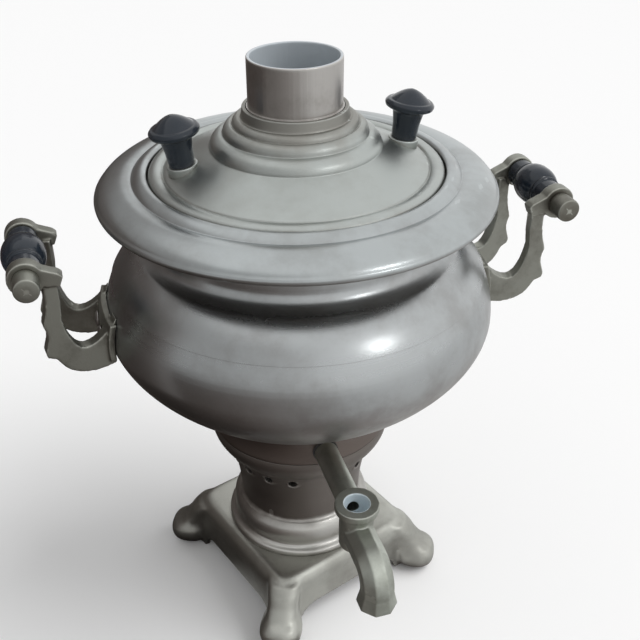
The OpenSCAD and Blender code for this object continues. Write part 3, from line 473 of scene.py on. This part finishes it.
def group(name, inputs, outputs):
    """An empty shader node group with float inputs and outputs of those names, and its two end nodes."""
    tree = bpy.data.node_groups.new(name, "ShaderNodeTree")
    for socket, value in inputs.items():
        tree.interface.new_socket(socket, in_out="INPUT", socket_type="NodeSocketFloat").default_value = value
    for socket in outputs:
        tree.interface.new_socket(socket, in_out="OUTPUT", socket_type="NodeSocketFloat")
    return tree, tree.nodes.new("NodeGroupInput").outputs, tree.nodes.new("NodeGroupOutput").inputs


def millimetres(tree):
    """Object coordinates in millimetres, with the urn's axis as their Z axis."""
    spot = put(tree, "TexCoord").outputs["Object"]
    return put(tree, "Mapping", {"Vector": spot, "Location": (0, -AXIS_Y, 0),
                                 "Scale": (1 / MM, 1 / MM, 1 / MM)}).outputs[0]


def noise(tree, vector, scale, detail=3, roughness=0.55):
    """Noise from 0 to 1, with scale waves to the millimetre."""
    return put(tree, "TexNoise", {"Vector": vector, "Scale": scale, "Detail": detail,
                                  "Roughness": roughness}).outputs[0]


def length(tree, x, y):
    """The length of the vector (x, y)."""
    across = put(tree, "CombineXYZ", {0: x, 1: y}).outputs[0]
    return put(tree, "VectorMath", {0: across}, operation="LENGTH").outputs["Value"]


def make_lathe_marks():
    """Fine lines and broad faint bands that run round the axis: noise over (distance from the axis, height),
    which wanders a little. Upright mixes in lines that run along the axis."""
    tree, given, out = group("lathe_marks", {"Pitch": 2.0, "Upright": 0.0}, ("Lines", "Bands"))
    wander, drawn_out, band_waves = 0.006, 0.02, 0.22
    spot = millimetres(tree)
    part = put(tree, "SeparateXYZ", {0: spot}).outputs
    meridian = put(tree, "CombineXYZ", {0: length(tree, part[0], part[1]), 1: part[2]}).outputs[0]
    little = put(tree, "VectorMath", {0: spot, "Scale": wander}, operation="SCALE").outputs[0]
    path = put(tree, "VectorMath", {0: meridian, 1: little}, operation="ADD").outputs[0]
    long = put(tree, "Mapping", {"Vector": spot, "Scale": (1, 1, drawn_out)}).outputs[0]
    along = noise(tree, long, given["Pitch"], 3)
    across = noise(tree, path, given["Pitch"], 2)
    more = maths(tree, "SUBTRACT", along, across)
    tree.links.new(maths(tree, "MULTIPLY_ADD", given["Upright"], more, across), out["Lines"])
    tree.links.new(noise(tree, path, band_waves, 1), out["Bands"])
    return tree


def make_cast_grain():
    """Sand-cast skin: a fine noise with small pits."""
    tree, given, out = group("cast_grain", {"Scale": 1.6}, ("Height",))
    spot = millimetres(tree)
    wider = maths(tree, "MULTIPLY", given["Scale"], 0.7)
    cells = put(tree, "TexVoronoi", {"Vector": spot, "Scale": wider}).outputs[0]
    pits = spread(tree, cells, 0.02, 0.16)
    skin = noise(tree, spot, given["Scale"], 5, 0.62)
    tree.links.new(maths(tree, "MULTIPLY_ADD", pits, 0.35, skin), out["Height"])
    return tree


def make_grime_and_shade():
    """Where the surface changes colour: tarnished patches; grime in inner corners, found by ambient
    occlusion, which on the metals is also painted shade; painted shade on surfaces that face down; and the
    heights between
    Low and High, with a ragged edge."""
    tree, given, out = group("grime_and_shade", {"Patches": 0.5, "Corners": 1.0, "UndersideShade": 0.5, "Low": -20.0,
                                         "High": -20.0}, ("Mask",))
    patch_waves, corner_waves, edge_waves, corner_reach, ragged = 0.045, 0.5, 0.12, 4 * MM, 6
    spot = millimetres(tree)
    patch = spread(tree, noise(tree, spot, patch_waves, 6, 0.66), 0.42, 0.68)
    # Inner corners by ambient occlusion: on the metals painted shade as well as grime, on black plastic dust.
    free = put(tree, "AmbientOcclusion", {"Distance": corner_reach}, samples=6).outputs["AO"]
    free = maths(tree, "MULTIPLY_ADD", noise(tree, spot, corner_waves, 4), 0.35, free)
    corner = spread(tree, free, 1.02, 0.5)
    # Surfaces that face down: painted shade.
    down = put(tree, "SeparateXYZ", {0: put(tree, "NewGeometry").outputs["Normal"]}).outputs[2]
    under = spread(tree, down, 0.35, -0.75)
    height = put(tree, "SeparateXYZ", {0: spot}).outputs[2]
    height = maths(tree, "MULTIPLY_ADD", noise(tree, spot, edge_waves, 4), ragged, height)
    above = spread(tree, maths(tree, "SUBTRACT", height, given["Low"]), 0, ragged)
    below = spread(tree, maths(tree, "SUBTRACT", given["High"], height), -ragged, 0)
    total = maths(tree, "MULTIPLY", patch, given["Patches"])
    total = maths(tree, "MULTIPLY_ADD", corner, given["Corners"], total)
    total = maths(tree, "MULTIPLY_ADD", under, given["UndersideShade"], total)
    total = maths(tree, "MULTIPLY_ADD", above, below, total, clamp=True)
    tree.links.new(total, out["Mask"])
    return tree


def make_rubbed():
    """Ridges and edges that hands have kept bright, found by how sharp the surface is there."""
    tree, given, out = group("rubbed", {"Amount": 1.0}, ("Mask",))
    sharp = put(tree, "NewGeometry").outputs["Pointiness"]
    mask = spread(tree, sharp, 0.505, 0.56)
    tree.links.new(maths(tree, "MULTIPLY", mask, given["Amount"], clamp=True), out["Mask"])
    return tree


def make_bore():
    """What lies within Radius of an upright axis, which stands at Away from the urn's own along Y."""
    tree, given, out = group("bore", {"Away": 0.0, "Radius": 0.0}, ("Mask",))
    part = put(tree, "SeparateXYZ", {0: millimetres(tree)}).outputs
    distance = length(tree, part[0], maths(tree, "SUBTRACT", part[1], given["Away"]))
    tree.links.new(maths(tree, "LESS_THAN", distance, given["Radius"]), out["Mask"])
    return tree


LATHE_MARKS, CAST_GRAIN, GRIME_AND_SHADE = make_lathe_marks(), make_cast_grain(), make_grime_and_shade()
RUBBED, BORE = make_rubbed(), make_bore()


def start(name):
    """A new material with its shader, and the tree they are in."""
    made = bpy.data.materials.new(name)
    made.use_nodes = True
    tree = made.node_tree
    shader = tree.nodes["Principled BSDF"]
    return made, tree, shader


def blend_colours(tree, amount, a, b):
    """a where amount is 0, b where it is 1."""
    node = put(tree, "Mix", {0: amount}, data_type="RGBA")
    for socket, colour in ((node.inputs[6], a), (node.inputs[7], b)):
        if isinstance(colour, bpy.types.NodeSocket):
            tree.links.new(colour, socket)
        else:
            socket.default_value = (*colour, 1)
    return node.outputs[2]


def effect(tree, kind, inputs):
    """The outputs of one of the groups above, placed with those inputs."""
    return put(tree, "Group", inputs, node_tree=kind).outputs


def metal(name, colour, grime_and_shade_colour, roughness, lines=0.0, pitch=2.0, upright=0.0, grain=0.0, scale=1.6, patches=0.5,
          corners=1.0, underside_shade=0.5, bright=0.3, band=(-20, -20), bore=None, pale=None):
    """Plain or plated metal, colour where it is clean and grime_and_shade_colour where it is tarnished or
    where shade is painted. lines and grain are the heights of the tool marks and of the cast skin in
    millimetres, pitch and scale their waves to the millimetre, and upright is the share of lines along the
    axis. patches, corners and underside_shade say how much tarnished patches, grime and painted shade in
    inner corners, and painted shade on surfaces that face down darken it, and band between which heights it
    takes that colour all
    over: painted shade under the belly on the urn and the stand, the collar's own browner tone on the lid.
    bright is how far its ridges are rubbed. bore gives the place and radius of an upright bore, and pale the
    paler, less metallic colour in it, which in the fire tube is a painted reflection."""
    dull_rough, band_rough, bore_unmetallic = 0.16, 0.12, 0.8
    made, tree, shader = start(name)
    marks = effect(tree, LATHE_MARKS, {"Pitch": pitch, "Upright": upright})
    skin = effect(tree, CAST_GRAIN, {"Scale": scale})["Height"]
    grime_and_shade_mask = effect(tree, GRIME_AND_SHADE, {"Patches": patches, "Corners": corners, "UndersideShade": underside_shade,
                                  "Low": band[0], "High": band[1]})["Mask"]
    ridges = effect(tree, RUBBED, {"Amount": bright})["Mask"]
    # The darker colour where tarnished, and painted shade in corners, on surfaces that face down and in the
    # urn's and stand's height bands.
    tone = blend_colours(tree, grime_and_shade_mask, colour, grime_and_shade_colour)
    tone = blend_colours(tree, ridges, tone, tuple(min(1, 1.35 * c + 0.05) for c in colour))
    shader.inputs["Metallic"].default_value = 1.0
    if bore:
        # Inside the bore a paler, less metallic colour; in the fire tube it is a painted reflection.
        inside = effect(tree, BORE, {"Away": bore[0], "Radius": bore[1]})["Mask"]
        tone = blend_colours(tree, inside, tone, pale)
        tree.links.new(maths(tree, "MULTIPLY_ADD", inside, -bore_unmetallic, 1.0), shader.inputs["Metallic"])
    tree.links.new(tone, shader.inputs["Base Color"])
    rough = maths(tree, "MULTIPLY_ADD", grime_and_shade_mask, dull_rough, roughness)
    rough = maths(tree, "SUBTRACT", rough, band_rough / 2)
    rough = maths(tree, "MULTIPLY_ADD", marks["Bands"], band_rough, rough)
    tree.links.new(rough, shader.inputs["Roughness"])
    height = maths(tree, "MULTIPLY_ADD", skin, grain, maths(tree, "MULTIPLY", marks["Lines"], lines))
    bump = put(tree, "Bump", {"Height": height, "Distance": MM, "Strength": 1.0})
    tree.links.new(bump.outputs[0], shader.inputs["Normal"])
    return made


def gloss_black(name):
    """Moulded black plastic: a clear skin with faint scratches, and dust in its corners."""
    made, tree, shader = start(name)
    spot = millimetres(tree)
    dust = effect(tree, GRIME_AND_SHADE, {"UndersideShade": 0.0, "Patches": 0.35})["Mask"]
    tone = blend_colours(tree, dust, (0.012, 0.018, 0.027), (0.045, 0.05, 0.056))
    tree.links.new(tone, shader.inputs["Base Color"])
    streaks = put(tree, "Mapping", {"Vector": spot, "Scale": (0.6, 0.6, 7)}).outputs[0]
    scratch = spread(tree, noise(tree, streaks, 0.9, 5, 0.7), 0.5, 0.75)
    tree.links.new(maths(tree, "MULTIPLY_ADD", scratch, 0.14, 0.17), shader.inputs["Roughness"])
    shader.inputs["Specular IOR Level"].default_value = 0.35
    bump = put(tree, "Bump", {"Height": noise(tree, spot, 1.2, 3), "Distance": 0.03 * MM, "Strength": 1.0})
    tree.links.new(bump.outputs[0], shader.inputs["Normal"])
    shader.inputs["Coat Weight"].default_value = 0.2
    shader.inputs["Coat Roughness"].default_value = 0.12
    return made


def rubber(name):
    """Matt black rubber with a fine skin."""
    made, tree, shader = start(name)
    skin = noise(tree, millimetres(tree), 3, 4)
    tone = blend_colours(tree, skin, (0.02, 0.02, 0.02), (0.05, 0.048, 0.045))
    tree.links.new(tone, shader.inputs["Base Color"])
    tree.links.new(maths(tree, "MULTIPLY_ADD", skin, 0.2, 0.6), shader.inputs["Roughness"])
    bump = put(tree, "Bump", {"Height": skin, "Distance": 0.1 * MM})
    tree.links.new(bump.outputs[0], shader.inputs["Normal"])
    return made


# The urn's band from 50 to 72 mm, round the foot under the belly, is painted shade.
SPUN = metal("spun_nickel", (0.455, 0.475, 0.48), (0.17, 0.143, 0.128), 0.27, lines=0.012, pitch=1.1,
             grain=0.008, patches=0.3, corners=0.2, underside_shade=0.6, bright=0.0, band=(50, 72))
RIM = metal("spun_rim", (0.46, 0.49, 0.495), (0.15, 0.13, 0.115), 0.3, lines=0.012, pitch=1.1, grain=0.012,
            scale=1.8, patches=0.25, corners=0.5, underside_shade=0.8)
# The pale, less metallic colour inside the tube's bore is a painted reflection.
TUBE = metal("drawn_tube", (0.5, 0.485, 0.465), (0.23, 0.2, 0.18), 0.32, lines=0.075, pitch=1.0, upright=0.8,
             grain=0.008, patches=0.55, corners=0.35, underside_shade=0.2, bright=0.5, bore=(0, 11.7),
             pale=(0.5, 0.54, 0.57))
LID = metal("cast_lid", (0.46, 0.49, 0.475), (0.32, 0.315, 0.29), 0.36, lines=0.006, grain=0.03, scale=2.2,
            patches=0.3, corners=0.8, underside_shade=0.3, bright=0.6, band=(150.5, 160))
# The stand's band from 31 to 70 mm, its waist and cup under the belly, is painted shade.
STAND = metal("turned_stand", (0.58, 0.575, 0.545), (0.19, 0.17, 0.155), 0.33, lines=0.015, pitch=1.3,
              grain=0.02, patches=0.3, corners=0.2, underside_shade=0.7, band=(31, 70))
FOOT = metal("cast_foot", (0.5, 0.505, 0.465), (0.15, 0.135, 0.12), 0.38, grain=0.035, scale=1.4,
             patches=0.35, corners=0.35, underside_shade=0.8)
HANDLE = metal("cast_handle", (0.31, 0.315, 0.28), (0.13, 0.12, 0.1), 0.42, grain=0.04, scale=1.7,
               patches=0.7, corners=0.8, underside_shade=0.6, bright=0.8)
TAP = metal("cast_tap", (0.5, 0.525, 0.475), (0.16, 0.16, 0.13), 0.44, grain=0.04, scale=1.7, corners=0.15,
            underside_shade=0.6, bright=0.25, bore=(-52.2, 3.5), pale=(0.62, 0.7, 0.74))
STEEL = metal("plated_steel", (0.42, 0.41, 0.4), (0.18, 0.16, 0.14), 0.34, lines=0.01, grain=0.008)
BRASS = metal("plain_brass", (0.56, 0.43, 0.2), (0.2, 0.15, 0.08), 0.38, grain=0.01, patches=0.6)
IRON = metal("sooty_iron", (0.07, 0.065, 0.06), (0.02, 0.018, 0.016), 0.7, grain=0.05, patches=0.8,
             bright=0.1)
BLACK, RUBBER = gloss_black("black_plastic"), rubber("black_rubber")

# ---- The pieces ----

piece("urn_bowl", bowl(), "urn", SPUN, "bowl")
piece("urn_shoulder", shoulder(), "urn", SPUN, "shoulder")
piece("urn_rim", rim(), "urn", RIM, "rim")
piece("urn_fire_tube", fire_tube(), "urn", TUBE, "fire_tube")
piece("lid_plate", lid(), "lid", LID, "lid")
for side, s in (("left", -1), ("right", 1)):
    piece("lid_knob_" + side, knob_frame(s, knob()), "lid", BLACK, "knob_" + side)
    at = (s * GRIP_X, 0, GRIP_H)
    piece("handle_grip_" + side, placed(grip(), at), "grip_" + side, BLACK, "grip_" + side)
    piece("handle_pin_" + side, placed(pin(), at), "urn", HANDLE, "pin_" + side)
    casting("handle_casting_" + side, "handle_" + side, "urn", HANDLE, 0.26, 6)
piece("handle_rivet_set", rivets(), "urn", STEEL, "handle_rivets")
drilled(piece("stand_casting", stand(), "urn", STAND, "stand"), vents())
casting("foot_casting", "base", "urn", FOOT, 0.55, 10)
casting("tap_casting", "tap_body", "urn", TAP, 0.24, 5)
# The small pieces that hold it together, and the grate, stay as their own solids.
for node, material in (("base_screws", STEEL), ("knob_screws", STEEL), ("tube_gasket", RUBBER),
                       ("tap_washer", RUBBER), ("ring_nut", BRASS), ("tap_nut", BRASS), ("grate", IRON)):
    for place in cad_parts[node].material_slots:
        place.material = material

# ---- Floor, world, lamps and cloths, in metres ----

FLOOR_HALF = 4
LAMP_AWAY, LAMP_AIM = 0.9, 0.09
NEAR, FAR, OFF_FLOOR = 0.15, 0.85, 0.0006

corners = FLOOR_HALF * np.array([(-1, -1, 0), (1, -1, 0), (1, 1, 0), (-1, 1, 0)])
floor = shown("floor", corners, [(0, 1, 2, 3)])
pale, tree, shader = start("pale_floor")
shader.inputs["Base Color"].default_value = (0.92, 0.92, 0.92, 1)
shader.inputs["Roughness"].default_value = 0.9
shader.inputs["Specular IOR Level"].default_value = 0.0
floor.data.materials.append(pale)

world = bpy.data.worlds.new("studio")
world.use_nodes = True
bpy.context.scene.world = world
tree = world.node_tree
tree.nodes.clear()
rays = put(tree, "LightPath").outputs
shiny = maths(tree, "MAXIMUM", rays["Is Glossy Ray"], rays["Is Transmission Ray"])
seen = maths(tree, "MAXIMUM", rays["Is Camera Ray"], shiny)
glow = put(tree, "Background", {"Color": (1, 1, 1, 1), "Strength": 0.55})
white = put(tree, "Background", {"Color": (1, 1, 1, 1), "Strength": 1.0})
mixed = put(tree, "MixShader", {0: seen, 1: glow.outputs[0], 2: white.outputs[0]})
put(tree, "OutputWorld", {"Surface": mixed.outputs[0]})


def lamp(name, kind, energy, size, azimuth, elevation):
    """A soft lamp that looks at the urn's middle from that side. Azimuth 0 is the front and 90 the right.
    size is a square's side, or the angle of a sun."""
    made = bpy.data.objects.new(name, bpy.data.lights.new(name, kind))
    made.data.energy = energy
    setattr(made.data, "angle" if kind == "SUN" else "size", size)
    a, e = radians(azimuth), radians(elevation)
    way = Vector((sin(a) * cos(e), -cos(a) * cos(e), sin(e)))
    made.location = Vector((0, 0, LAMP_AIM)) + way * LAMP_AWAY
    made.rotation_euler = way.to_track_quat("Z", "Y").to_euler()
    bpy.context.scene.collection.objects.link(made)
    return made


lamp("key", "SUN", 2.0, radians(50), 75, 50).visible_glossy = False
lamp("window", "AREA", 0.45, 0.14, 34, 33)


def cloth(name, first, last, profile, tones, lit):
    """Cloth that only reflections show: rows (distance, height) in metres turned about Z from the azimuth
    first to last, (distance sin a, -distance cos a, height). tones holds pairs (azimuth, grey), and the
    darker greys are a little warm. Lit cloth takes the lamps' light, and unlit cloth shows its grey as it
    is."""
    steps = 90
    a = np.radians(np.linspace(first, last, steps))[:, None]
    r, h = np.array(profile).T
    points = np.stack([r * np.sin(a), -r * np.cos(a), h + 0 * a], 2).reshape(-1, 3)
    n = len(profile)
    i, j = np.meshgrid(np.arange(steps - 1), np.arange(n - 1), indexing="ij")
    faces = np.stack([n * i + j, n * i + j + 1, n * i + n + j + 1, n * i + n + j], 2).reshape(-1, 4)
    made = shown(name, points, faces.tolist())
    stuff, tree, shader = start(name)
    part = put(tree, "SeparateXYZ", {0: put(tree, "TexCoord").outputs["Object"]}).outputs
    azimuth = maths(tree, "ARCTAN2", part[0], maths(tree, "MULTIPLY", part[1], -1))
    ramp = put(tree, "ValToRGB", {0: maths(tree, "MULTIPLY_ADD", azimuth, 0.5 / np.pi, 0.5)})
    stops = ramp.color_ramp.elements
    while len(stops) < len(tones):
        stops.new(0.5)
    for stop, (at, grey) in zip(stops, tones):
        stop.position = at / 360 + 0.5
    for stop, (at, grey) in zip(stops, tones):
        warm = max(0, 0.45 - grey)
        stop.color = (grey, (1 - 0.5 * warm) * grey, (1 - 0.7 * warm) * grey, 1)
    shader.inputs["Roughness"].default_value = 1.0
    shader.inputs["Specular IOR Level"].default_value = 0.0
    if lit:
        tree.links.new(ramp.outputs[0], shader.inputs["Base Color"])
    else:
        shader.inputs["Base Color"].default_value = (0, 0, 0, 1)
        tree.links.new(ramp.outputs[0], shader.inputs["Emission Color"])
        shader.inputs["Emission Strength"].default_value = 1.0
    made.data.materials.append(stuff)
    made.visible_camera = made.visible_diffuse = made.visible_shadow = made.visible_transmission = False


cloth("far_screen", -178, 12, [(FAR, -0.02), (FAR, 0.5), (FAR, 1.1)],
      [(-178, 0.4), (-110, 0.38), (-80, 0.48), (-50, 0.55), (-22, 0.68), (2, 0.92), (12, 1.0)], False)
cloth("near_screen", -176, -80, [(NEAR, OFF_FLOOR), (NEAR, 0.07), (NEAR, 0.14)],
      [(-176, 0.1), (-160, 0.06), (-105, 0.06), (-92, 0.1), (-80, 0.3)], False)
cloth("near_top", -176, -80, [(NEAR, 0.14), (NEAR, 0.165), (NEAR, 0.19)],
      [(-176, 0.17), (-160, 0.14), (-105, 0.14), (-92, 0.17), (-80, 0.34)], False)
cloth("mat", -180, 180, [(0.03, OFF_FLOOR), (0.4, OFF_FLOOR), (FAR, OFF_FLOOR)],
      [(-180, 0.3), (-170, 0.05), (-110, 0.045), (-85, 0.06), (-60, 0.11), (-35, 0.19), (-10, 0.34),
       (12, 0.56), (35, 0.7), (165, 0.72), (180, 0.3)], True)
bpy.context.scene.view_settings.view_transform = "Standard"
